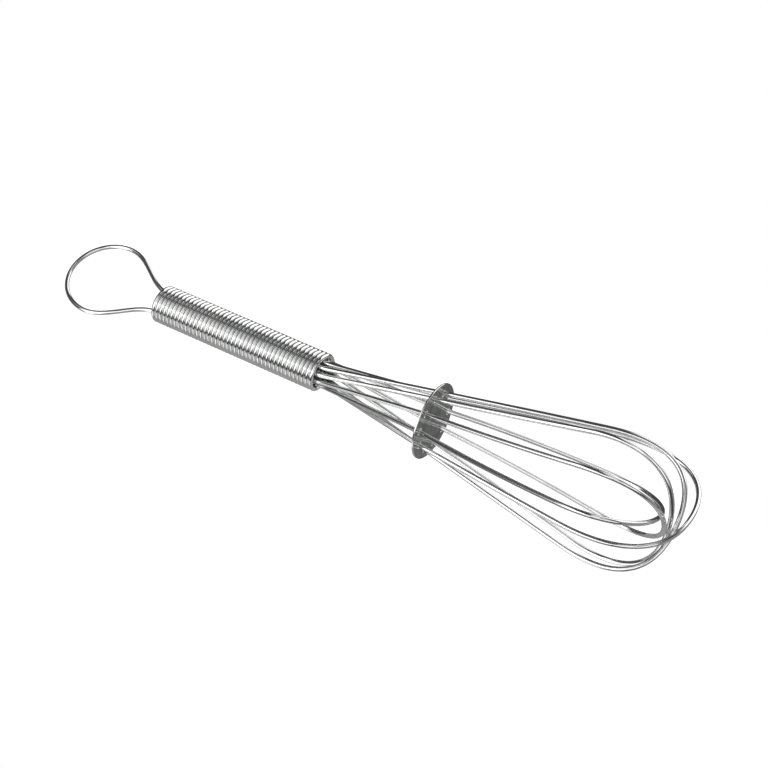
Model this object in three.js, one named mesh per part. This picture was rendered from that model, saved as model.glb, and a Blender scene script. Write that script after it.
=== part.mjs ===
// Mini whisk: a handle wound from one wire, a hanging loop, a stamped collar and five bent wire loops.
// Millimetres, +Z up. The whisk lies at rest on two wires of its head and on the rear end of its handle.
// It is built along its own axis first, +X towards the tip, x = 0 at the front end of the handle,
// and then turned and moved as a whole into the rest pose.

import * as THREE from 'three';

// Wire and clearance
const WIRE_D = 1.2;
const CLEARANCE = 0.3;
const WIRE_SIDES = 8;

// Handle coil, close wound on the real whisk; the solid strand is thinner so that its turns stay apart
const COIL_OD = 10.3;
const COIL_PITCH = 1.2;
const COIL_TURNS = 42;
const COIL_TURN_GAP = 0.44;
const COIL_STRAND_SIDES = 5;
const COIL_STEPS_PER_TURN = 8;

// Shanks of the head's wires inside the handle, and how far their ring is turned against the collar
const SHANK_LENGTH = 38;
const SHANK_TURN = THREE.MathUtils.degToRad(58);

// Hanging loop: two legs wedged between the shanks, an eye behind the handle
const LEG_REACH = 36;
const LEG_SPREAD_LENGTH = 6;
const LEG_STRAIGHT_LENGTH = 5;
const EYE_HALF_WIDTH = 10.9;
const EYE_WIDEST = 18.2;
const EYE_LENGTH = 30;
const EYE_NECK = 6.1;
const EYE_SHOULDER = 6.7;
const EYE_ROUNDNESS = 0.55;
const EYE_ANGLE = THREE.MathUtils.degToRad(101.5);
const EYE_STEPS = 64;

// Collar: a thin disc with a punched hole for each wire
const COLLAR_X = 31;
const COLLAR_OD = 19.6;
const COLLAR_SHEET = 0.5;
const COLLAR_RIM_WIDTH = 1.7;
const RIM_SIDES = 48;
const HOLE_SIDES = 12;

// Head: straight legs out to LEG_END_X, then one bow round the tip
const LEG_END_X = 70.8;
const BOW_SHOULDER = 9;
const BOW_TIP = 16.9;
const FIRST_WIRE_ANGLE = THREE.MathUtils.degToRad(-42);
const LOOP_STEPS = 72;
// The bows cross at the tip one behind the other, a wire and a clearance apart
const TIP_REACH = 95.3;
const TIP_STEP = WIRE_D + CLEARANCE;
const HEAD_HALF_WIDTH = 16.5;
// The wires were bent by hand, so each bow differs a little. layer: how many bows lie outside it at the tip;
// spread: its half width at the leg end and lean: its sideways shift there, as shares of HEAD_HALF_WIDTH;
// twist: its turn about the axis there, in degrees
const LOOPS = [
  { layer: 1, spread: 0.875, lean: 0.007, twist: -11.2 },
  { layer: 2, spread: 1.015, lean: -0.03, twist: -5.8 },
  { layer: 3, spread: 0.997, lean: -0.07, twist: -7.9 },
  { layer: 4, spread: 1.012, lean: 0.006, twist: -10.5 },
  { layer: 0, spread: 0.882, lean: -0.165, twist: -9.6 },
];

// Worked out from the sizes above
const WIRE_COUNT = 2 * LOOPS.length;
const WIRE_STEP_ANGLE = (2 * Math.PI) / WIRE_COUNT;
const COIL_LENGTH = (COIL_TURNS + 1) * COIL_PITCH;
const COIL_STRAND_D = COIL_PITCH - COIL_TURN_GAP;
const COIL_STRAND_R = (COIL_OD - COIL_STRAND_D) / 2;
const SHANK_RING_R = COIL_OD / 2 - COIL_PITCH - WIRE_D / 2 - CLEARANCE;
const LEG_INNER_R = SHANK_RING_R - WIRE_D - CLEARANCE;
const WIRE_HOLE_D = WIRE_D + 2 * CLEARANCE;
const COLLAR_WIRE_R = COLLAR_OD / 2 - COLLAR_RIM_WIDTH - WIRE_HOLE_D / 2;

const BRIGHT_STEEL = { color: 0xd6d7d6, roughness: 0.16, metalness: 1 };
const STAMPED_STEEL = { color: 0xb9bbba, roughness: 0.24, metalness: 1 };

// Point at a distance x along the whisk's axis and a radius r from it; the angle runs from +Z towards -Y.
function polar(x, r, angle) {
  return new THREE.Vector3(x, -r * Math.sin(angle), r * Math.cos(angle));
}

function roundCorners(diameter, sides) {
  const corners = [];
  for (let i = 0; i < sides; i += 1) {
    const a = (2 * Math.PI * i) / sides;
    corners.push(new THREE.Vector2((diameter / 2) * Math.cos(a), (diameter / 2) * Math.sin(a)));
  }
  return corners;
}

function roundSection(diameter, sides) {
  return new THREE.Shape(roundCorners(diameter, sides));
}

function tube(path, diameter, sides, steps) {
  return new THREE.ExtrudeGeometry(roundSection(diameter, sides), { steps, extrudePath: path });
}

function named(name, geometry, finish) {
  const mesh = new THREE.Mesh(geometry, new THREE.MeshStandardMaterial(finish));
  mesh.name = name;
  return mesh;
}

// A flat outline of axis distance and radius, wrapped onto a plane through the axis at one angle.
class AxialCurve extends THREE.Curve {
  constructor(outline, angle) {
    super();
    this.outline = outline;
    this.angle = angle;
  }

  getPoint(t) {
    const flat = this.outline.getPoint(t);
    return polar(flat.x, flat.y, this.angle);
  }
}

// How far along the legs a point lies: 0 at the collar, 1 at the leg end, more past it.
function legShare(x) {
  return (x - COLLAR_X) / (LEG_END_X - COLLAR_X);
}

// A bow that leans crosses the axis beside its crown, so the crown lies this much further out. It follows
// from the bow's curve close to its crown.
function crownRise(loop, bowDepth) {
  const shift = loop.lean * HEAD_HALF_WIDTH * legShare(TIP_REACH);
  const t = shift / (3 * BOW_TIP);
  return 3 * bowDepth * t * t;
}

// The part of a wire loop past the collar, leaning and twisting further with its distance from the collar.
class HeadCurve extends AxialCurve {
  constructor(loop, angle) {
    const halfWidth = loop.spread * HEAD_HALF_WIDTH;
    const legSlope = (halfWidth - COLLAR_WIRE_R) / (LEG_END_X - COLLAR_X);
    const shoulderX = LEG_END_X + BOW_SHOULDER;
    const shoulderR = halfWidth + BOW_SHOULDER * legSlope;
    const crossingX = TIP_REACH - loop.layer * TIP_STEP;
    const reach = crossingX + crownRise(loop, crossingX - shoulderX);
    const outline = new THREE.Path();
    outline.moveTo(COLLAR_X, COLLAR_WIRE_R);
    outline.lineTo(LEG_END_X, halfWidth);
    outline.bezierCurveTo(shoulderX, shoulderR, reach, BOW_TIP, reach, 0);
    outline.bezierCurveTo(reach, -BOW_TIP, shoulderX, -shoulderR, LEG_END_X, -halfWidth);
    outline.lineTo(COLLAR_X, -COLLAR_WIRE_R);
    super(outline, angle);
    this.loop = loop;
  }

  getPoint(t) {
    const flat = this.outline.getPoint(t);
    const share = legShare(flat.x);
    const turn = THREE.MathUtils.degToRad(this.loop.twist) * share;
    const shift = this.loop.lean * HEAD_HALF_WIDTH * share;
    return polar(flat.x, flat.y + shift, this.angle + turn);
  }
}

class CoilCurve extends THREE.Curve {
  getPoint(t) {
    const x = -COIL_PITCH / 2 - COIL_TURNS * COIL_PITCH * t;
    return polar(x, COIL_STRAND_R, Math.PI + 2 * Math.PI * COIL_TURNS * t);
  }
}

// Least distance between the surfaces of turns that are at least half a turn apart.
function leastGapBetweenTurns(curve) {
  const perTurn = 4 * COIL_STEPS_PER_TURN;
  const points = curve.getSpacedPoints(COIL_TURNS * perTurn);
  let least = Infinity;
  for (let i = 0; i < points.length; i += 1) {
    const last = Math.min(points.length, i + 2 * perTurn);
    for (let j = i + perTurn / 2; j < last; j += 1) {
      least = Math.min(least, points[i].distanceTo(points[j]));
    }
  }
  return least - COIL_STRAND_D;
}

function makeHandleCoil() {
  const curve = new CoilCurve();
  curve.arcLengthDivisions = COIL_TURNS * COIL_STEPS_PER_TURN;
  console.log(`handle_coil: least gap between turns ${leastGapBetweenTurns(curve).toFixed(3)} mm`);
  const steps = COIL_TURNS * COIL_STEPS_PER_TURN;
  return named('handle_coil', tube(curve, COIL_STRAND_D, COIL_STRAND_SIDES, steps), BRIGHT_STEEL);
}

function makeHangingLoop() {
  const rear = -COIL_LENGTH;
  const neckX = rear + LEG_STRAIGHT_LENGTH;
  const wedgeX = neckX + LEG_SPREAD_LENGTH;
  const widestX = rear - EYE_WIDEST;
  const endX = rear - EYE_LENGTH;
  const roundX = widestX - EYE_ROUNDNESS * (EYE_LENGTH - EYE_WIDEST);
  const roundR = EYE_ROUNDNESS * EYE_HALF_WIDTH;
  const outline = new THREE.Path();
  outline.moveTo(rear + LEG_REACH, LEG_INNER_R);
  outline.lineTo(wedgeX, LEG_INNER_R);
  outline.lineTo(neckX, SHANK_RING_R);
  outline.lineTo(rear, SHANK_RING_R);
  outline.bezierCurveTo(
    rear - EYE_NECK, SHANK_RING_R,
    widestX + EYE_SHOULDER, EYE_HALF_WIDTH,
    widestX, EYE_HALF_WIDTH,
  );
  outline.bezierCurveTo(roundX, EYE_HALF_WIDTH, endX, roundR, endX, 0);
  outline.bezierCurveTo(endX, -roundR, roundX, -EYE_HALF_WIDTH, widestX, -EYE_HALF_WIDTH);
  outline.bezierCurveTo(
    widestX + EYE_SHOULDER, -EYE_HALF_WIDTH,
    rear - EYE_NECK, -SHANK_RING_R,
    rear, -SHANK_RING_R,
  );
  outline.lineTo(neckX, -SHANK_RING_R);
  outline.lineTo(wedgeX, -LEG_INNER_R);
  outline.lineTo(rear + LEG_REACH, -LEG_INNER_R);
  const curve = new AxialCurve(outline, EYE_ANGLE);
  return named('hanging_loop', tube(curve, WIRE_D, WIRE_SIDES, EYE_STEPS), BRIGHT_STEEL);
}

function makeWireLoop(index) {
  const nearAngle = FIRST_WIRE_ANGLE + index * WIRE_STEP_ANGLE;
  const farAngle = nearAngle + Math.PI;
  const shank = (angle) => [
    polar(-SHANK_LENGTH, SHANK_RING_R, angle + SHANK_TURN),
    polar(0, SHANK_RING_R, angle + SHANK_TURN),
    polar(COLLAR_X, COLLAR_WIRE_R, angle),
  ];
  const [nearEnd, nearMouth, nearCollar] = shank(nearAngle);
  const [farEnd, farMouth, farCollar] = shank(farAngle);
  const path = new THREE.CurvePath();
  path.add(new THREE.LineCurve3(nearEnd, nearMouth));
  path.add(new THREE.LineCurve3(nearMouth, nearCollar));
  path.add(new HeadCurve(LOOPS[index], nearAngle));
  path.add(new THREE.LineCurve3(farCollar, farMouth));
  path.add(new THREE.LineCurve3(farMouth, farEnd));
  const geometry = tube(path, WIRE_D, WIRE_SIDES, LOOP_STEPS);
  return named(`wire_loop_${index + 1}`, geometry, BRIGHT_STEEL);
}

function makeCollar() {
  const disc = roundSection(COLLAR_OD, RIM_SIDES);
  for (let i = 0; i < WIRE_COUNT; i += 1) {
    const a = FIRST_WIRE_ANGLE + i * WIRE_STEP_ANGLE;
    const centre = new THREE.Vector2(COLLAR_WIRE_R * Math.cos(a), COLLAR_WIRE_R * Math.sin(a));
    const rim = roundCorners(WIRE_HOLE_D, HOLE_SIDES).map((corner) => corner.add(centre));
    disc.holes.push(new THREE.Path(rim));
  }
  const geometry = new THREE.ExtrudeGeometry(disc, { depth: COLLAR_SHEET, bevelEnabled: false });
  const up = new THREE.Vector3(0, 0, 1);
  const side = new THREE.Vector3(0, -1, 0);
  const axis = new THREE.Vector3(1, 0, 0);
  const acrossAxis = new THREE.Matrix4().makeBasis(up, side, axis);
  acrossAxis.setPosition(COLLAR_X - COLLAR_SHEET / 2, 0, 0);
  return named('collar', geometry.applyMatrix4(acrossAxis), STAMPED_STEEL);
}

// Lowest corner of a mesh in the frame of the whole part.
function lowestCorner(mesh) {
  const corner = new THREE.Vector3();
  const lowest = new THREE.Vector3(0, 0, Infinity);
  const position = mesh.geometry.attributes.position;
  for (let i = 0; i < position.count; i += 1) {
    corner.fromBufferAttribute(position, i).applyMatrix4(mesh.matrixWorld);
    if (corner.z < lowest.z) {
      lowest.copy(corner);
    }
  }
  return lowest;
}

// Turns the whisk until its three feet stand on one level, with its axis over +X, and sets it on z = 0
// with the middle of its footprint at the origin.
function layAtRest(part, whisk, feet) {
  const level = new THREE.Vector3(0, 0, 1);
  const rounds = 12;
  for (let i = 0; i < rounds; i += 1) {
    part.updateMatrixWorld(true);
    const [a, b, c] = feet.map(lowestCorner);
    const normal = b.sub(a).cross(c.sub(a)).normalize();
    normal.multiplyScalar(Math.sign(normal.z));
    whisk.quaternion.premultiply(new THREE.Quaternion().setFromUnitVectors(normal, level));
    const axis = new THREE.Vector3(1, 0, 0).applyQuaternion(whisk.quaternion);
    const heading = new THREE.Quaternion().setFromAxisAngle(level, -Math.atan2(axis.y, axis.x));
    whisk.quaternion.premultiply(heading);
  }
  part.updateMatrixWorld(true);
  const box = new THREE.Box3().setFromObject(part, true);
  const middle = box.getCenter(new THREE.Vector3());
  whisk.position.set(-middle.x, -middle.y, -box.min.z);
  part.updateMatrixWorld(true);
}

const handleCoil = makeHandleCoil();
const wireLoops = LOOPS.map((loop, index) => makeWireLoop(index));
const whisk = new THREE.Group();
whisk.add(handleCoil, makeHangingLoop(), makeCollar(), ...wireLoops);
const part = new THREE.Group();
part.add(whisk);
layAtRest(part, whisk, [handleCoil, wireLoops[1], wireLoops[2]]);

export default part;
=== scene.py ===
import logging
import math
from dataclasses import dataclass
from enum import Enum
from typing import ClassVar, Sequence

import bmesh
import bpy
from mathutils import Matrix, Vector
from mathutils.geometry import interpolate_bezier


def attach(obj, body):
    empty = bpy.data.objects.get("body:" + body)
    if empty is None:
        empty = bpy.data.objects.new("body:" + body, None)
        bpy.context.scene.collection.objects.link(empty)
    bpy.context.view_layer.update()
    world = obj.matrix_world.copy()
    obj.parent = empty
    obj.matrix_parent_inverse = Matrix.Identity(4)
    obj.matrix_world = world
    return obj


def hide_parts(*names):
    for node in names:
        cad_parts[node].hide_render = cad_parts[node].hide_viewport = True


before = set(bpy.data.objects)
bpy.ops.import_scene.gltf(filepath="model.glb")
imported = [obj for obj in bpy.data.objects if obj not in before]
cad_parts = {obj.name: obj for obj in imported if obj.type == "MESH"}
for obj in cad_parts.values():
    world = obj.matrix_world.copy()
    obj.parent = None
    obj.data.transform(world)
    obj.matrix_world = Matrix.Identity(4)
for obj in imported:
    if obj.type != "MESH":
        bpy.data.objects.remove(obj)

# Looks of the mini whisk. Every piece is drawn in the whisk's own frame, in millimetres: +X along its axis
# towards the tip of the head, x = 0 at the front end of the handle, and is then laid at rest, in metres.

LOG = logging.getLogger("mini_whisk")
MM = 0.001
BODY = "root"
WHITE = (1.0, 1.0, 1.0, 1.0)

# Attributes that the meshes carry for their finishes
ALONG = "along"
AROUND = "around"
# marks the collar's punched edges, which get a painted highlight against the sheet's painted shade
CUT_EDGE_HIGHLIGHT = "cut_edge_highlight"

Colour = tuple[float, float, float]
NodeTree = bpy.types.NodeTree
Socket = bpy.types.NodeSocket


class Slot(Enum):
    """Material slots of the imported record."""

    BRIGHT_WIRE = "bright_wire"
    STAMPED_SHEET = "stamped_sheet"


@dataclass(frozen=True)
class WireGauge:
    """Round wire that the whole whisk is bent from, and the broken edge of its cut ends."""

    diameter: float = 1.2
    sides: int = 20
    cut_bevel: float = 0.12
    bevel_segments: int = 2


@dataclass(frozen=True)
class RestPose:
    """How the whisk lies: its axis climbs towards the head, and it is rolled a little about that axis.

    mouth_mm: where the middle of the handle's front end lies.
    """

    climb_deg: float = 5.8002
    roll_deg: float = -2.0471
    mouth_mm: tuple[float, float, float] = (-7.0117, -2.4521, 10.262)

    def matrix(self) -> Matrix:
        """Works out the move that lays the whisk at rest.

        Returns:
            The move from the whisk's own frame in millimetres to the part's frame in metres.
        """
        climb = Matrix.Rotation(math.radians(-self.climb_deg), 4, "Y")
        roll = Matrix.Rotation(math.radians(self.roll_deg), 4, "X")
        return Matrix.Scale(MM, 4) @ Matrix.Translation(self.mouth_mm) @ climb @ roll


@dataclass(frozen=True)
class WireRing:
    """Where the wires of the head pass through the collar, two for each loop."""

    x: float = 31.0
    radius: float = 7.2
    loops: int = 5
    first_angle_deg: float = -42.0

    def angle(self, wire: int) -> float:
        """Returns a wire's angle about the axis, in radians."""
        return math.radians(self.first_angle_deg) + wire * math.pi / self.loops


def polar(x: float, r: float, angle: float) -> Vector:
    """Places a point by its distance along the axis, its radius and its angle from +Z towards -Y.

    Args:
        x: distance along the whisk's axis, in millimetres.
        r: distance from the axis, in millimetres.
        angle: turn about the axis, in radians.

    Returns:
        The point in the whisk's own frame.
    """
    return Vector((x, -r * math.sin(angle), r * math.cos(angle)))


class PathPen:
    """Draws the centre line of a wire out of straight runs and curves."""

    def __init__(self, start: Vector) -> None:
        """Starts the line at a point."""
        self.points: list[Vector] = [start.copy()]

    def line_to(self, end: Vector, step: float = 1.0) -> None:
        """Adds a straight run.

        Args:
            end: where the run ends.
            step: about how far apart its points are.
        """
        start = self.points[-1]
        count = max(1, round((end - start).length / step))
        self.points += [start.lerp(end, i / count) for i in range(1, count + 1)]

    def curve_to(self, handle_1: Vector, handle_2: Vector, end: Vector, count: int = 48) -> None:
        """Adds a curve with two handles.

        Args:
            handle_1: handle at the curve's start.
            handle_2: handle at its end.
            end: where the curve ends.
            count: number of its points.
        """
        self.points += interpolate_bezier(self.points[-1], handle_1, handle_2, end, count)[1:]


def spaced(points: Sequence[Vector], step: float) -> list[Vector]:
    """Spreads points evenly along a line.

    Args:
        points: the line's points.
        step: about how far apart the new points are.

    Returns:
        The new points, with both ends kept.
    """
    reach = [0.0]
    for a, b in zip(points, points[1:]):
        reach.append(reach[-1] + (b - a).length)
    count = max(2, round(reach[-1] / step))
    even: list[Vector] = []
    at = 0
    for i in range(count):
        goal = reach[-1] * i / count
        while reach[at + 1] < goal:
            at += 1
        span = reach[at + 1] - reach[at]
        even.append(points[at].lerp(points[at + 1], (goal - reach[at]) / span))
    even.append(points[-1].copy())
    return even


def relaxed(points: Sequence[Vector], passes: int) -> list[Vector]:
    """Rounds the corners of a line the way a bent wire rounds them.

    Args:
        points: evenly spaced points.
        passes: how often each point moves halfway to the middle of its two neighbours.

    Returns:
        The rounded line, with both ends kept.
    """
    line = [p.copy() for p in points]
    for _ in range(passes):
        inner = [0.25 * a + 0.5 * b + 0.25 * c for a, b, c in zip(line, line[1:], line[2:])]
        line = [line[0], *inner, line[-1]]
    return line


def linked(name: str, data: bpy.types.ID) -> bpy.types.Object:
    """Makes an object of a mesh, a camera or a lamp and links it to the scene.

    Args:
        name: the object's name.
        data: what it shows.

    Returns:
        The new object, at the origin.
    """
    made = bpy.data.objects.new(name, data)
    bpy.context.scene.collection.objects.link(made)
    return made


def linked_mesh(name: str, bm: bmesh.types.BMesh) -> bpy.types.Object:
    """Makes an object of a mesh that is still being modelled, and frees that mesh.

    Args:
        name: the object's name.
        bm: the mesh.

    Returns:
        The new object, at the origin.
    """
    mesh = bpy.data.meshes.new(name)
    bm.to_mesh(mesh)
    bm.free()
    return linked(name, mesh)


def laid_piece(name: str, bm: bmesh.types.BMesh, pose: RestPose) -> bpy.types.Object:
    """Lays a mesh at rest and makes it an object.

    Args:
        name: the object's name.
        bm: the mesh in the whisk's own frame.
        pose: how the whisk lies.

    Returns:
        The new object, at the origin, with its place in its mesh.
    """
    bmesh.ops.transform(bm, matrix=pose.matrix(), space=Matrix.Identity(4), verts=bm.verts[:])
    return linked_mesh(name, bm)


class WireMesh:
    """A length of round wire, drawn straight and then bent along a path.

    Each point keeps its place round the section and along the wire, for the finish.
    """

    def __init__(self, gauge: WireGauge) -> None:
        """Starts an empty mesh with the two attributes that the wire's finish reads.

        Args:
            gauge: the wire.
        """
        self.gauge = gauge
        self.bm = bmesh.new()
        self.along = self.bm.verts.layers.float.new(ALONG)
        self.around = self.bm.verts.layers.float_vector.new(AROUND)

    def draw(self, steps: int) -> None:
        """Draws straight wire along +Z, one millimetre for each step.

        Args:
            steps: number of rings after the first.
        """
        radius = self.gauge.diameter / 2
        bmesh.ops.create_cone(
            self.bm,
            cap_ends=False,
            segments=self.gauge.sides,
            radius1=radius,
            radius2=radius,
            depth=float(steps),
        )
        bmesh.ops.translate(self.bm, vec=(0.0, 0.0, steps / 2), verts=self.bm.verts[:])
        for vert in self.bm.verts:
            vert[self.around] = vert.co.xy.to_3d() / radius
        lengths = [e for e in self.bm.edges if e.verts[0].co.z != e.verts[1].co.z]
        bmesh.ops.subdivide_edges(self.bm, edges=lengths, cuts=steps - 1)

    def bend(self, path: Sequence[Vector]) -> None:
        """Draws the wire and bends it, without twisting it, along a path.

        Args:
            path: the wire's centre line.
        """
        self.draw(len(path) - 1)
        ways = [(b - a).normalized() for a, b in zip(path, path[1:])]
        tangents = [ways[0]] + [(a + b).normalized() for a, b in zip(ways, ways[1:])] + [ways[-1]]
        side = tangents[0].orthogonal().normalized()
        run = 0.0
        frames: list[tuple[Vector, Vector, Vector, float]] = []
        for i, (point, tangent) in enumerate(zip(path, tangents)):
            if i:
                side.rotate(tangents[i - 1].rotation_difference(tangent))
                run += (point - path[i - 1]).length
            frames.append((point, side.copy(), tangent.cross(side), run))
        for vert in self.bm.verts:
            point, across, up, at = frames[round(vert.co.z)]
            vert[self.along] = at
            vert.co = point + across * vert.co.x + up * vert.co.y

    def close(self) -> None:
        """Closes both cut ends of the wire and breaks their sharp edges."""
        rims = [edge for edge in self.bm.edges if edge.is_boundary]
        caps = bmesh.ops.holes_fill(self.bm, edges=rims, sides=0)["faces"]
        bmesh.ops.recalc_face_normals(self.bm, faces=self.bm.faces[:])
        for face in self.bm.faces:
            face.smooth = True
        bmesh.ops.bevel(
            self.bm,
            geom=[edge for face in caps for edge in face.edges],
            offset=self.gauge.cut_bevel,
            offset_type="OFFSET",
            segments=self.gauge.bevel_segments,
            profile=0.5,
            affect="EDGES",
            material=-1,
        )


def bent_wire(name: str, path: Sequence[Vector], gauge: WireGauge, pose: RestPose) -> bpy.types.Object:
    """Bends a length of wire along a path, closes its ends and lays it at rest.

    Args:
        name: the piece's name.
        path: the wire's centre line, in the whisk's own frame.
        gauge: the wire.
        pose: how the whisk lies.

    Returns:
        The new piece.
    """
    wire = WireMesh(gauge)
    wire.bend(path)
    wire.close()
    return laid_piece(name, wire.bm, pose)


class SubAssembly:
    """What the whisk's sub-assemblies share: the way a finished piece is dressed."""

    slot: ClassVar[Slot] = Slot.BRIGHT_WIRE

    def dress(self, piece: bpy.types.Object, node: str, material: bpy.types.Material) -> bpy.types.Object:
        """Gives a piece its finish, hangs it on the whisk's body and hides the solid that it replaces.

        Args:
            piece: the new piece.
            node: the solid that it replaces.
            material: its finish.

        Returns:
            The same piece.
        """
        piece.data.materials.append(material)
        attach(piece, BODY)
        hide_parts(node)
        return piece


@dataclass
class HandleCoil(SubAssembly):
    """The handle: one wire wound close, its cut ends showing at both mouths.

    seat_r: how far from the axis a wire lies against the coil's inside.
    """

    outer_d: float = 10.3
    pitch: float = 1.2
    turns: int = 42
    seat_r: float = 3.05
    steps_per_turn: int = 56
    touch_gap: float = 0.012
    sides: int = 16

    @property
    def length(self) -> float:
        """The coil's length from mouth to mouth: its turns and one thickness of wire."""
        return self.pitch * (self.turns + 1)

    def build(self, pose: RestPose, material: bpy.types.Material) -> bpy.types.Object:
        """Winds the wire about the axis, from the bottom of the front end to the bottom of the rear end.

        Its centre line starts and ends half a pitch inside the coil's mouths.

        Args:
            pose: how the whisk lies.
            material: the wire's finish.

        Returns:
            The coil.
        """
        gauge = WireGauge(diameter=self.pitch - self.touch_gap, sides=self.sides)
        strand_r = (self.outer_d - gauge.diameter) / 2
        steps = self.turns * self.steps_per_turn
        turns = [i / self.steps_per_turn for i in range(steps + 1)]
        path = [polar(-self.pitch * (0.5 + t), strand_r, math.pi + math.tau * t) for t in turns]
        return self.dress(bent_wire("wound_handle", path, gauge, pose), "handle_coil", material)


@dataclass
class HangingLoop(SubAssembly):
    """The eye at the rear: two legs out of the handle that open into a drop."""

    coil: HandleCoil
    leg_reach: float = 36.0
    leg_straight: float = 5.0
    leg_spread: float = 6.0
    inner_r: float = 1.55
    half_width: float = 10.9
    widest: float = 18.2
    length: float = 30.0
    neck: float = 6.1
    shoulder: float = 6.7
    roundness: float = 0.55
    angle_deg: float = 101.5
    step: float = 0.8
    bend_passes: int = 3

    def _half(self) -> list[Vector]:
        """Draws one side of the flat outline.

        Returns:
            Its points, from the leg's hidden end to the rear of the eye.
        """
        rear = -self.coil.length
        mouth_r = self.coil.seat_r
        widest_x = rear - self.widest
        end_x = rear - self.length
        round_x = widest_x - self.roundness * (self.length - self.widest)
        pen = PathPen(Vector((rear + self.leg_reach, self.inner_r, 0.0)))
        pen.line_to(Vector((rear + self.leg_straight + self.leg_spread, self.inner_r, 0.0)))
        pen.line_to(Vector((rear + self.leg_straight, mouth_r, 0.0)))
        pen.line_to(Vector((rear, mouth_r, 0.0)))
        pen.curve_to(
            Vector((rear - self.neck, mouth_r, 0.0)),
            Vector((widest_x + self.shoulder, self.half_width, 0.0)),
            Vector((widest_x, self.half_width, 0.0)),
        )
        pen.curve_to(
            Vector((round_x, self.half_width, 0.0)),
            Vector((end_x, self.roundness * self.half_width, 0.0)),
            Vector((end_x, 0.0, 0.0)),
        )
        return pen.points

    def build(self, gauge: WireGauge, pose: RestPose, material: bpy.types.Material) -> bpy.types.Object:
        """Bends the wire.

        Args:
            gauge: the wire.
            pose: how the whisk lies.
            material: the wire's finish.

        Returns:
            The hanging loop.
        """
        half = self._half()
        mirrored = [Vector((p.x, -p.y, 0.0)) for p in reversed(half[:-1])]
        angle = math.radians(self.angle_deg)
        outline = [polar(p.x, p.y, angle) for p in half + mirrored]
        path = relaxed(spaced(outline, self.step), self.bend_passes)
        return self.dress(bent_wire("hanging_eye", path, gauge, pose), "hanging_loop", material)


@dataclass(frozen=True)
class Bow:
    """How one loop of the head was bent by hand.

    layer: how many loops lie outside it at the tip; spread and lean: its half width and its sideways shift at
    the leg end, as shares of the head's half width; twist_deg: its turn about the axis there.
    """

    layer: int
    spread: float
    lean: float
    twist_deg: float


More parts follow.
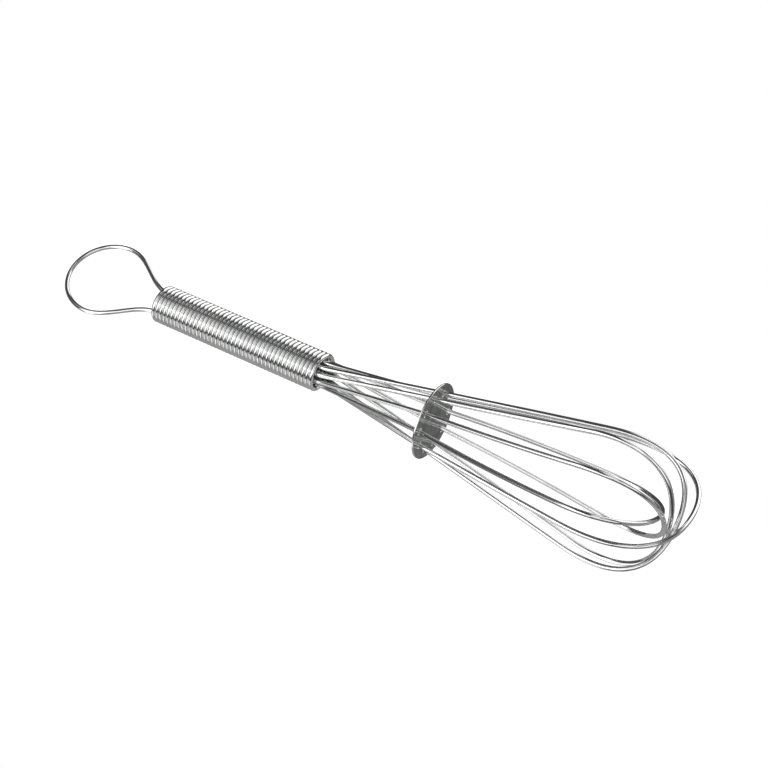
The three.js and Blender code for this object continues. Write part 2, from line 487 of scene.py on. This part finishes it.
@dataclass
class HeadWires(SubAssembly):
    """The five loops of the head, from their hidden shanks in the handle round the tip and back."""

    coil: HandleCoil
    ring: WireRing
    bows: tuple[Bow, ...] = (
        Bow(layer=1, spread=0.875, lean=0.007, twist_deg=-11.2),
        Bow(layer=2, spread=1.015, lean=-0.03, twist_deg=-5.8),
        Bow(layer=3, spread=0.997, lean=-0.07, twist_deg=-7.9),
        Bow(layer=4, spread=1.012, lean=0.006, twist_deg=-10.5),
        Bow(layer=0, spread=0.882, lean=-0.165, twist_deg=-9.6),
    )
    half_width: float = 16.5
    tip_reach: float = 95.3
    tip_step: float = 1.5
    shank_length: float = 38.0
    shank_turn_deg: float = 58.0
    leg_end_x: float = 70.8
    shoulder: float = 9.0
    tip_handle: float = 16.9
    step: float = 0.8
    bend_passes: int = 4

    def _share(self, x: float) -> float:
        """Returns how far along the legs a point lies, 0 at the collar and 1 at the leg end."""
        return (x - self.ring.x) / (self.leg_end_x - self.ring.x)

    def _crown(self, bow: Bow) -> float:
        """Works out where a bow's crown lies, so that the bow crosses the axis at its layer.

        At a small share t before its end, the curve lies 3 t handles to the side and 3 t t depths behind.

        Args:
            bow: how the loop was bent.

        Returns:
            The crown's distance along the axis.
        """
        crossing = self.tip_reach - bow.layer * self.tip_step
        depth = crossing - self.leg_end_x - self.shoulder
        t = bow.lean * self.half_width * self._share(self.tip_reach) / (3.0 * self.tip_handle)
        return crossing + 3.0 * depth * t * t

    def _outline(self, bow: Bow) -> list[Vector]:
        """Draws a loop's flat outline from the collar round the tip and back.

        Args:
            bow: how the loop was bent.

        Returns:
            Points with the distance along the axis as x and the radius as y.
        """
        half_width = bow.spread * self.half_width
        slope = (half_width - self.ring.radius) / (self.leg_end_x - self.ring.x)
        shoulder_x = self.leg_end_x + self.shoulder
        shoulder_r = half_width + self.shoulder * slope
        crown = self._crown(bow)
        pen = PathPen(Vector((self.ring.x, self.ring.radius, 0.0)))
        pen.line_to(Vector((self.leg_end_x, half_width, 0.0)))
        pen.curve_to(
            Vector((shoulder_x, shoulder_r, 0.0)),
            Vector((crown, self.tip_handle, 0.0)),
            Vector((crown, 0.0, 0.0)),
        )
        back = [Vector((p.x, -p.y, 0.0)) for p in reversed(pen.points[:-1])]
        return pen.points + back

    def _wrapped(self, flat: Vector, bow: Bow, angle: float) -> Vector:
        """Sets a point of the outline at its angle, leaning and twisting with its distance from the collar.

        Args:
            flat: the outline's point.
            bow: how the loop was bent.
            angle: the loop's angle at the collar, in radians.

        Returns:
            The point in the whisk's own frame.
        """
        share = self._share(flat.x)
        shift = bow.lean * self.half_width * share
        return polar(flat.x, flat.y + shift, angle + math.radians(bow.twist_deg) * share)

    def path(self, index: int) -> list[Vector]:
        """Draws the centre line of one loop.

        Args:
            index: which loop, from 0.

        Returns:
            Its points, from one hidden end to the other.
        """
        bow = self.bows[index]
        seat_r = self.coil.seat_r
        near = self.ring.angle(index)
        far = near + math.pi
        turn = math.radians(self.shank_turn_deg)
        head = [self._wrapped(flat, bow, near) for flat in self._outline(bow)]
        pen = PathPen(polar(-self.shank_length, seat_r, near + turn))
        pen.line_to(polar(0.0, seat_r, near + turn))
        pen.line_to(head[0])
        pen.points += head[1:]
        pen.line_to(polar(0.0, seat_r, far + turn))
        pen.line_to(polar(-self.shank_length, seat_r, far + turn))
        return relaxed(spaced(pen.points, self.step), self.bend_passes)

    def build(self, gauge: WireGauge, pose: RestPose, material: bpy.types.Material) -> list[bpy.types.Object]:
        """Bends the loops.

        Args:
            gauge: the wire.
            pose: how the whisk lies.
            material: the wire's finish.

        Returns:
            The loops, one piece each.
        """
        loops: list[bpy.types.Object] = []
        for index in range(self.ring.loops):
            loop = bent_wire(f"head_loop_{index + 1}", self.path(index), gauge, pose)
            loops.append(self.dress(loop, f"wire_loop_{index + 1}", material))
        return loops


@dataclass
class Collar(SubAssembly):
    """The stamped disc that spreads the wires, with a punched hole for each of them."""

    slot: ClassVar[Slot] = Slot.STAMPED_SHEET
    ring: WireRing
    outer_d: float = 19.6
    sheet: float = 0.5
    hole_d: float = 1.66
    rim_segments: int = 120
    hole_segments: int = 24
    edge_bevel: float = 0.16
    bevel_segments: int = 3
    sharp_deg: float = 50.0
    flat_normal: float = 0.995

    def _outlines(self, bm: bmesh.types.BMesh) -> None:
        """Draws the rim and the holes on the disc's front face.

        Args:
            bm: the mesh to draw in.
        """
        front_x = self.ring.x + self.sheet / 2
        axes = (Vector((0.0, 0.0, 1.0)), Vector((0.0, -1.0, 0.0)), Vector((1.0, 0.0, 0.0)))
        face_on = Matrix(axes).transposed().to_4x4()
        place = Matrix.Translation((front_x, 0.0, 0.0)) @ face_on
        bmesh.ops.create_circle(bm, segments=self.rim_segments, radius=self.outer_d / 2, matrix=place)
        for wire in range(2 * self.ring.loops):
            at = polar(front_x, self.ring.radius, self.ring.angle(wire))
            hole = Matrix.Translation(at) @ face_on
            bmesh.ops.create_circle(bm, segments=self.hole_segments, radius=self.hole_d / 2, matrix=hole)

    def _break_edges(self, bm: bmesh.types.BMesh) -> None:
        """Rounds the punched edges and marks them for the finish, which paints a highlight on them.

        Args:
            bm: the disc.
        """
        sharp = math.radians(self.sharp_deg)
        bmesh.ops.bevel(
            bm,
            geom=[e for e in bm.edges if e.is_manifold and e.calc_face_angle() > sharp],
            offset=self.edge_bevel,
            offset_type="OFFSET",
            segments=self.bevel_segments,
            profile=0.5,
            affect="EDGES",
            material=-1,
        )
        cut_edge_highlight = bm.faces.layers.float.new(CUT_EDGE_HIGHLIGHT)
        for face in bm.faces:
            flat = abs(face.normal.x) > self.flat_normal
            face.smooth = not flat
            face[cut_edge_highlight] = 0.0 if flat else 1.0

    def build(self, pose: RestPose, material: bpy.types.Material) -> bpy.types.Object:
        """Punches the disc, gives it the sheet's thickness and breaks its edges.

        Args:
            pose: how the whisk lies.
            material: the sheet's finish.

        Returns:
            The collar.
        """
        bm = bmesh.new()
        self._outlines(bm)
        bmesh.ops.triangle_fill(bm, use_beauty=True, edges=bm.edges[:], normal=(1.0, 0.0, 0.0))
        if bm.faces[:][0].normal.x < 0.0:
            bmesh.ops.reverse_faces(bm, faces=bm.faces[:])
        bmesh.ops.solidify(bm, geom=bm.faces[:], thickness=self.sheet)
        bmesh.ops.recalc_face_normals(bm, faces=bm.faces[:])
        self._break_edges(bm)
        return self.dress(laid_piece("punched_collar", bm, pose), "collar", material)


def node_input(node: bpy.types.Node, name: str) -> Socket:
    """Returns a node's free input socket of that name."""
    return next(s for s in node.inputs if s.name == name and s.enabled)


def add_math(tree: NodeTree, operation: str, a: Socket | float, b: Socket | float) -> Socket:
    """Adds a math node.

    Args:
        tree: where it goes.
        operation: what it does.
        a: its first value, or the socket that gives it.
        b: its second value, or the socket that gives it.

    Returns:
        The result's socket.
    """
    node = tree.nodes.new("ShaderNodeMath")
    node.operation = operation
    for socket, value in zip(node.inputs, (a, b)):
        if isinstance(value, (int, float)):
            socket.default_value = value
        else:
            tree.links.new(value, socket)
    return node.outputs[0]


def add_dot(tree: NodeTree, a: Socket, b: Socket) -> Socket:
    """Adds a dot product.

    Args:
        tree: where it goes.
        a: the socket of its first vector.
        b: the socket of its second vector.

    Returns:
        The result's socket.
    """
    node = tree.nodes.new("ShaderNodeVectorMath")
    node.operation = "DOT_PRODUCT"
    tree.links.new(a, node.inputs[0])
    tree.links.new(b, node.inputs[1])
    return node.outputs["Value"]


def add_colour_mix(tree: NodeTree, factor: Socket, a: Socket | Colour, b: Socket | Colour) -> Socket:
    """Adds a mix of two colours.

    Args:
        tree: where it goes.
        factor: the share of the second colour.
        a: the first colour, or the socket that gives it.
        b: the second colour, or the socket that gives it.

    Returns:
        The result's socket.
    """
    node = tree.nodes.new("ShaderNodeMix")
    node.data_type = "RGBA"
    tree.links.new(factor, node_input(node, "Factor"))
    for name, value in (("A", a), ("B", b)):
        if isinstance(value, tuple):
            node_input(node, name).default_value = (*value, 1.0)
        else:
            tree.links.new(value, node_input(node, name))
    return next(s for s in node.outputs if s.enabled)


class MetalGrain:
    """Node group: fine lines left by drawing or rolling, and the dulling of handling."""

    name: ClassVar[str] = "metal_grain"
    line_detail: ClassVar[float] = 4.0
    line_roughness: ClassVar[float] = 0.62
    patch_detail: ClassVar[float] = 3.0
    patch_from: ClassVar[float] = 0.42
    patch_to: ClassVar[float] = 0.72

    @classmethod
    def group(cls) -> NodeTree:
        """Returns the group, which is built once."""
        ready = bpy.data.node_groups.get(cls.name)
        return ready if ready else cls._build()

    @classmethod
    def _build(cls) -> NodeTree:
        """Builds the group.

        Returns:
            The group, with the height of the lines and the mask of the dulled patches as its outputs.
        """
        tree = bpy.data.node_groups.new(cls.name, "ShaderNodeTree")
        for name, kind in (
            ("Line Coordinates", "NodeSocketVector"),
            ("Patch Coordinates", "NodeSocketVector"),
            ("Line Scale", "NodeSocketFloat"),
            ("Patch Scale", "NodeSocketFloat"),
        ):
            tree.interface.new_socket(name, in_out="INPUT", socket_type=kind)
        for name in ("Line Height", "Dulling"):
            tree.interface.new_socket(name, in_out="OUTPUT", socket_type="NodeSocketFloat")
        entry = tree.nodes.new("NodeGroupInput")
        leave = tree.nodes.new("NodeGroupOutput")
        lines = tree.nodes.new("ShaderNodeTexNoise")
        lines.inputs["Detail"].default_value = cls.line_detail
        lines.inputs["Roughness"].default_value = cls.line_roughness
        tree.links.new(entry.outputs["Line Coordinates"], lines.inputs["Vector"])
        tree.links.new(entry.outputs["Line Scale"], lines.inputs["Scale"])
        patches = tree.nodes.new("ShaderNodeTexNoise")
        patches.inputs["Detail"].default_value = cls.patch_detail
        tree.links.new(entry.outputs["Patch Coordinates"], patches.inputs["Vector"])
        tree.links.new(entry.outputs["Patch Scale"], patches.inputs["Scale"])
        soft = tree.nodes.new("ShaderNodeMapRange")
        soft.interpolation_type = "SMOOTHSTEP"
        soft.inputs["From Min"].default_value = cls.patch_from
        soft.inputs["From Max"].default_value = cls.patch_to
        tree.links.new(patches.outputs["Fac"], soft.inputs["Value"])
        tree.links.new(lines.outputs["Fac"], leave.inputs["Line Height"])
        tree.links.new(soft.outputs["Result"], leave.inputs["Dulling"])
        return tree


@dataclass(frozen=True)
class MetalFinish:
    """Bright metal with grain, dulled a little in patches by handling."""

    name: str
    clean: Colour
    dulled: Colour
    clean_roughness: float
    dulled_roughness: float
    line_scale: float
    patch_scale: float
    bump_strength: float
    bump_depth_mm: float

    def _tint(self, tree: NodeTree, colour: Socket) -> Socket:
        """Lets a finish change the metal's colour; this one keeps it."""
        return colour

    def _finish(self, tree: NodeTree, lines: Socket, patches: Socket) -> None:
        """Wires the grain into a metal shader.

        Args:
            tree: the material's nodes.
            lines: coordinates that are stretched along the grain.
            patches: coordinates of the dulled patches.
        """
        grain = tree.nodes.new("ShaderNodeGroup")
        grain.node_tree = MetalGrain.group()
        grain.inputs["Line Scale"].default_value = self.line_scale
        grain.inputs["Patch Scale"].default_value = self.patch_scale
        tree.links.new(lines, grain.inputs["Line Coordinates"])
        tree.links.new(patches, grain.inputs["Patch Coordinates"])
        colour = add_colour_mix(tree, grain.outputs["Dulling"], self.clean, self.dulled)
        rough = tree.nodes.new("ShaderNodeMapRange")
        rough.inputs["To Min"].default_value = self.clean_roughness
        rough.inputs["To Max"].default_value = self.dulled_roughness
        tree.links.new(grain.outputs["Dulling"], rough.inputs["Value"])
        bump = tree.nodes.new("ShaderNodeBump")
        bump.inputs["Strength"].default_value = self.bump_strength
        bump.inputs["Distance"].default_value = self.bump_depth_mm * MM
        tree.links.new(grain.outputs["Line Height"], bump.inputs["Height"])
        shader = tree.nodes.new("ShaderNodeBsdfPrincipled")
        shader.inputs["Metallic"].default_value = 1.0
        tree.links.new(self._tint(tree, colour), shader.inputs["Base Color"])
        tree.links.new(rough.outputs["Result"], shader.inputs["Roughness"])
        tree.links.new(bump.outputs["Normal"], shader.inputs["Normal"])
        surface = tree.nodes.new("ShaderNodeOutputMaterial")
        tree.links.new(shader.outputs["BSDF"], surface.inputs["Surface"])

    def _empty(self) -> bpy.types.Material:
        """Starts the finish.

        Returns:
            A new material with no nodes.
        """
        material = bpy.data.materials.new(self.name)
        material.use_nodes = True
        material.node_tree.nodes.clear()
        return material


@dataclass(frozen=True)
class DrawnWireFinish(MetalFinish):
    """Wire drawn through a die: the grain runs along it."""

    name: str = "bright_drawn_wire"
    clean: Colour = (0.90, 0.905, 0.90)
    dulled: Colour = (0.80, 0.805, 0.80)
    clean_roughness: float = 0.05
    dulled_roughness: float = 0.11
    line_scale: float = 7.0
    patch_scale: float = 160.0
    bump_strength: float = 0.25
    bump_depth_mm: float = 0.01
    stretch: float = 0.06

    def material(self) -> bpy.types.Material:
        """Makes the finish, which reads the wire's own attributes for its grain.

        Returns:
            The material.
        """
        material = self._empty()
        tree = material.node_tree
        around = tree.nodes.new("ShaderNodeAttribute")
        around.attribute_name = AROUND
        along = tree.nodes.new("ShaderNodeAttribute")
        along.attribute_name = ALONG
        split = tree.nodes.new("ShaderNodeSeparateXYZ")
        tree.links.new(around.outputs["Vector"], split.inputs["Vector"])
        join = tree.nodes.new("ShaderNodeCombineXYZ")
        tree.links.new(split.outputs["X"], join.inputs["X"])
        tree.links.new(split.outputs["Y"], join.inputs["Y"])
        tree.links.new(add_math(tree, "MULTIPLY", along.outputs["Fac"], self.stretch), join.inputs["Z"])
        place = tree.nodes.new("ShaderNodeTexCoord")
        self._finish(tree, join.outputs["Vector"], place.outputs["Object"])
        return material


@dataclass(frozen=True)
class StampedSheetFinish(MetalFinish):
    """Rolled sheet: the grain runs straight across the disc. Its faces carry painted shade, darkened to stand
    for polished metal mirroring a dark room, and its punched edges keep the bright steel colour as a painted
    highlight.
    """

    name: str = "stamped_sheet_painted_shade"
    # painted shade: the sheet's colours are darkened so that its faces stand for polished metal mirroring a
    # dark room; the dulled patches vary at random with handling
    clean: Colour = (0.36, 0.37, 0.36)
    dulled: Colour = (0.22, 0.23, 0.22)
    # bright steel colour of the punched edges, a painted highlight on the rim and hole edges against the
    # darkened faces
    edge: Colour = (0.92, 0.92, 0.91)
    clean_roughness: float = 0.10
    dulled_roughness: float = 0.20
    line_scale: float = 900.0
    patch_scale: float = 480.0
    bump_strength: float = 0.3
    bump_depth_mm: float = 0.012
    stretch: float = 0.05

    def _tint(self, tree: NodeTree, colour: Socket) -> Socket:
        """Brightens the cut edges: a painted highlight along the rim and the holes, against the sheet's
        painted shade.

        Args:
            tree: the material's nodes.
            colour: the colour of the sheet's faces.

        Returns:
            The colour of faces and edges.
        """
        mark = tree.nodes.new("ShaderNodeAttribute")
        mark.attribute_name = CUT_EDGE_HIGHLIGHT
        return add_colour_mix(tree, mark.outputs["Fac"], colour, self.edge)

    def material(self) -> bpy.types.Material:
        """Makes the finish, with its grain along the sheet's height.

        Returns:
            The material.
        """
        material = self._empty()
        tree = material.node_tree
        place = tree.nodes.new("ShaderNodeTexCoord")
        drawn = tree.nodes.new("ShaderNodeMapping")
        drawn.inputs["Scale"].default_value = (1.0, 1.0, self.stretch)
        tree.links.new(place.outputs["Object"], drawn.inputs["Vector"])
        self._finish(tree, drawn.outputs["Vector"], place.outputs["Object"])
        return material


@dataclass(frozen=True)
class SoftPanel:
    """A soft patch of light, placed by the direction in which it is seen from the whisk.

    Azimuth 0 is towards the camera and 90 to the camera's right; all angles are in degrees.
    """

    azimuth: float
    elevation: float
    half_width: float
    half_height: float
    level: float

    group_name: ClassVar[str] = "soft_panel"

    @classmethod
    def group(cls) -> NodeTree:
        """Makes the node group that masks a panel, once.

        Returns:
            The group.
        """
        ready = bpy.data.node_groups.get(cls.group_name)
        if ready:
            return ready
        tree = bpy.data.node_groups.new(cls.group_name, "ShaderNodeTree")
        for name in ("Direction", "Centre", "Across", "Upward"):
            tree.interface.new_socket(name, in_out="INPUT", socket_type="NodeSocketVector")
        for name in ("Half Width", "Half Height", "Edge"):
            tree.interface.new_socket(name, in_out="INPUT", socket_type="NodeSocketFloat")
        tree.interface.new_socket("Mask", in_out="OUTPUT", socket_type="NodeSocketFloat")
        entry = tree.nodes.new("NodeGroupInput").outputs
        ahead = add_dot(tree, entry["Direction"], entry["Centre"])
        masks: list[Socket] = []
        for axis, half in (("Across", "Half Width"), ("Upward", "Half Height")):
            aside = add_math(tree, "ABSOLUTE", add_dot(tree, entry["Direction"], entry[axis]), 0.0)
            fade = tree.nodes.new("ShaderNodeMapRange")
            fade.interpolation_type = "SMOOTHSTEP"
            tree.links.new(add_math(tree, "ARCTAN2", aside, ahead), fade.inputs["Value"])
            tree.links.new(add_math(tree, "SUBTRACT", entry[half], entry["Edge"]), fade.inputs["From Min"])
            tree.links.new(add_math(tree, "ADD", entry[half], entry["Edge"]), fade.inputs["From Max"])
            fade.inputs["To Min"].default_value = 1.0
            fade.inputs["To Max"].default_value = 0.0
            masks.append(fade.outputs["Result"])
        leave = tree.nodes.new("NodeGroupOutput")
        tree.links.new(add_math(tree, "MULTIPLY", masks[0], masks[1]), leave.inputs["Mask"])
        return tree

    def glow(self, tree: NodeTree, way: Socket, camera_azimuth: float, edge_deg: float) -> Socket:
        """Adds the panel to the nodes of the world or of the table.

        Args:
            tree: the nodes.
            way: the direction that is looked at.
            camera_azimuth: the camera's turn about +Z, in radians.
            edge_deg: how softly the panel's edge fades.

        Returns:
            How bright the panel is in that direction.
        """
        turn = Matrix.Rotation(camera_azimuth + math.radians(self.azimuth), 3, "Z")
        lift = Matrix.Rotation(-math.radians(self.elevation), 3, "X")
        frame_of_panel = turn @ lift
        node = tree.nodes.new("ShaderNodeGroup")
        node.node_tree = self.group()
        node.inputs["Centre"].default_value = frame_of_panel @ Vector((0.0, -1.0, 0.0))
        node.inputs["Across"].default_value = frame_of_panel @ Vector((1.0, 0.0, 0.0))
        node.inputs["Upward"].default_value = frame_of_panel @ Vector((0.0, 0.0, 1.0))
        node.inputs["Half Width"].default_value = math.radians(self.half_width)
        node.inputs["Half Height"].default_value = math.radians(self.half_height)
        node.inputs["Edge"].default_value = math.radians(edge_deg)
        tree.links.new(way, node.inputs["Direction"])
        return add_math(tree, "MULTIPLY", node.outputs["Mask"], self.level)


@dataclass
class Studio:
    """Table in a dim room with soft panels for the metal to mirror, one weak lamp, and the camera.

    The camera sees the table and the room white. The metal mirrors the table dim, with one painted
    reflection: a bright patch of glow on the table, where the key panel would be mirrored, that only glossy
    and transmission rays see.
    """

    panels: tuple[SoftPanel, ...] = (
        SoftPanel(azimuth=-50.0, elevation=22.0, half_width=24.0, half_height=20.0, level=1.4),
        SoftPanel(azimuth=9.0, elevation=29.0, half_width=28.0, half_height=16.0, level=1.05),
        SoftPanel(azimuth=-102.0, elevation=51.0, half_width=15.0, half_height=5.0, level=1.3),
        SoftPanel(azimuth=-16.0, elevation=64.0, half_width=8.0, half_height=14.0, level=1.1),
        SoftPanel(azimuth=32.0, elevation=60.0, half_width=12.0, half_height=12.0, level=0.6),
        SoftPanel(azimuth=72.0, elevation=14.0, half_width=30.0, half_height=34.0, level=0.22),
        SoftPanel(azimuth=133.0, elevation=18.0, half_width=30.0, half_height=31.0, level=1.3),
        SoftPanel(azimuth=150.0, elevation=75.0, half_width=11.0, half_height=9.0, level=0.9),
    )
    # painted reflection: a glowing patch on the table, seen only by glossy and transmission rays, that stands
    # for the key panel mirrored in the table
    painted_table_reflection: SoftPanel = SoftPanel(
        azimuth=-47.0, elevation=-28.0, half_width=11.0, half_height=18.0, level=1.2
    )
    panel_edge_deg: float = 4.0
    room_level: float = 0.06
    table_from: tuple[float, float] = (-0.14, -0.045)
    table_to: tuple[float, float] = (0.14, 0.022)
    table_gap_mm: float = 0.1
    table_colour: Colour = (0.55, 0.55, 0.55)
    table_glow_seen: float = 0.88
    table_glow_mirrored: float = 0.03
    lamp_at: tuple[float, float, float] = (-0.3, -0.45, 0.5)
    lamp_size: float = 0.4
    lamp_watts: float = 0.6
    camera_at: tuple[float, float, float] = (0.112212, -0.179075, 0.285681)
    azimuth_deg: float = 30.09
    elevation_deg: float = 52.649
    tilt_deg: float = 2.007
    focal_px: float = 1400.7
    picture_px: int = 768
    sensor_mm: float = 36.0
    near_clip: float = 0.01

    def camera(self) -> None:
        """Sets up the camera at the photograph's viewing angle."""
        data = bpy.data.cameras.new("photo_view")
        data.sensor_width = self.sensor_mm
        data.lens = self.focal_px / self.picture_px * self.sensor_mm
        data.clip_start = self.near_clip
        camera = linked("photo_view", data)
        turn = Matrix.Rotation(math.radians(self.azimuth_deg), 4, "Z")
        nod = Matrix.Rotation(math.radians(90.0 - self.elevation_deg), 4, "X")
        tilt = Matrix.Rotation(math.radians(self.tilt_deg), 4, "Z")
        camera.matrix_world = Matrix.Translation(self.camera_at) @ turn @ nod @ tilt
        bpy.context.scene.camera = camera

    def _glow(self, panel: SoftPanel, tree: NodeTree, way: Socket) -> Socket:
        """Returns how bright a panel of this studio is in a direction."""
        return panel.glow(tree, way, math.radians(self.azimuth_deg), self.panel_edge_deg)

    def _table_level(self, tree: NodeTree) -> Socket:
        """Works out how strongly the table glows for the camera and for what mirrors it, including the
        painted reflection of the key panel that only glossy and transmission rays see.

        Args:
            tree: the table's nodes.

        Returns:
            The strength of its glow.
        """
        path = tree.nodes.new("ShaderNodeLightPath")
        seen = add_math(tree, "MULTIPLY", path.outputs["Is Camera Ray"], self.table_glow_seen)
        beyond = add_math(tree, "ADD", path.outputs["Is Glossy Ray"], path.outputs["Is Transmission Ray"])
        away = tree.nodes.new("ShaderNodeVectorMath")
        away.operation = "SCALE"
        away.inputs["Scale"].default_value = -1.0
        tree.links.new(tree.nodes.new("ShaderNodeNewGeometry").outputs["Incoming"], away.inputs[0])
        patch = self._glow(self.painted_table_reflection, tree, away.outputs["Vector"])
        level = add_math(tree, "ADD", patch, self.table_glow_mirrored)
        return add_math(tree, "ADD", seen, add_math(tree, "MULTIPLY", beyond, level))

    def _table_finish(self) -> bpy.types.Material:
        """Makes the table's finish: matt, so that it keeps the shadow, with a glow.

        Returns:
            The material.
        """
        material = bpy.data.materials.new("white_table")
        material.use_nodes = True
        tree = material.node_tree
        tree.nodes.clear()
        diffuse = tree.nodes.new("ShaderNodeBsdfDiffuse")
        diffuse.inputs["Color"].default_value = (*self.table_colour, 1.0)
        glow = tree.nodes.new("ShaderNodeEmission")
        tree.links.new(self._table_level(tree), glow.inputs["Strength"])
        both = tree.nodes.new("ShaderNodeAddShader")
        tree.links.new(diffuse.outputs["BSDF"], both.inputs[0])
        tree.links.new(glow.outputs["Emission"], both.inputs[1])
        surface = tree.nodes.new("ShaderNodeOutputMaterial")
        tree.links.new(both.outputs["Shader"], surface.inputs["Surface"])
        return material

    def table(self) -> None:
        """Lays the table just under the whisk."""
        half = (Vector(self.table_to) - Vector(self.table_from)) / 2
        middle = (Vector(self.table_to) + Vector(self.table_from)) / 2
        bm = bmesh.new()
        bmesh.ops.create_grid(bm, x_segments=1, y_segments=1, size=1.0)
        bmesh.ops.scale(bm, vec=(*half, 1.0), verts=bm.verts[:])
        bmesh.ops.translate(bm, vec=(*middle, -self.table_gap_mm * MM), verts=bm.verts[:])
        table = linked_mesh("white_table", bm)
        table.data.materials.append(self._table_finish())

    def world(self) -> None:
        """Surrounds the table with a dim room and its panels; the camera itself sees plain white."""
        world = bpy.data.worlds.new("white_studio")
        bpy.context.scene.world = world
        world.use_nodes = True
        tree = world.node_tree
        tree.nodes.clear()
        way = tree.nodes.new("ShaderNodeTexCoord").outputs["Generated"]
        level: Socket | float = self.room_level
        for panel in self.panels:
            level = add_math(tree, "ADD", self._glow(panel, tree, way), level)
        room = tree.nodes.new("ShaderNodeBackground")
        room.inputs["Color"].default_value = WHITE
        tree.links.new(level, room.inputs["Strength"])
        white = tree.nodes.new("ShaderNodeBackground")
        white.inputs["Color"].default_value = WHITE
        path = tree.nodes.new("ShaderNodeLightPath")
        pick = tree.nodes.new("ShaderNodeMixShader")
        tree.links.new(path.outputs["Is Camera Ray"], pick.inputs["Fac"])
        tree.links.new(room.outputs["Background"], pick.inputs[1])
        tree.links.new(white.outputs["Background"], pick.inputs[2])
        surface = tree.nodes.new("ShaderNodeOutputWorld")
        tree.links.new(pick.outputs["Shader"], surface.inputs["Surface"])

    def lamp(self) -> None:
        """Hangs one weak soft lamp, which gives the shadow its direction."""
        data = bpy.data.lights.new("soft_lamp", "AREA")
        data.shape = "SQUARE"
        data.size = self.lamp_size
        data.energy = self.lamp_watts
        lamp = linked("soft_lamp", data)
        lamp.location = self.lamp_at
        lamp.rotation_euler = (-lamp.location).to_track_quat("-Z", "Y").to_euler()

    def build(self) -> None:
        """Sets up camera, table, room and lamp."""
        self.camera()
        self.table()
        self.world()
        self.lamp()
        bpy.context.scene.view_settings.view_transform = "Standard"


def main() -> None:
    """Builds the whisk piece by piece and sets it in the studio."""
    logging.basicConfig(level=logging.INFO)
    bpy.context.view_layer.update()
    pose = RestPose()
    gauge = WireGauge()
    ring = WireRing()
    coil = HandleCoil()
    wire = DrawnWireFinish().material()
    sheet = StampedSheetFinish().material()
    pieces = [
        coil.build(pose, wire),
        HangingLoop(coil).build(gauge, pose, wire),
        Collar(ring).build(pose, sheet),
        *HeadWires(coil, ring).build(gauge, pose, wire),
    ]
    for piece in pieces:
        LOG.info("%s: %d faces", piece.name, len(piece.data.polygons))
    Studio().build()


if __name__ == "__main__":
    main()
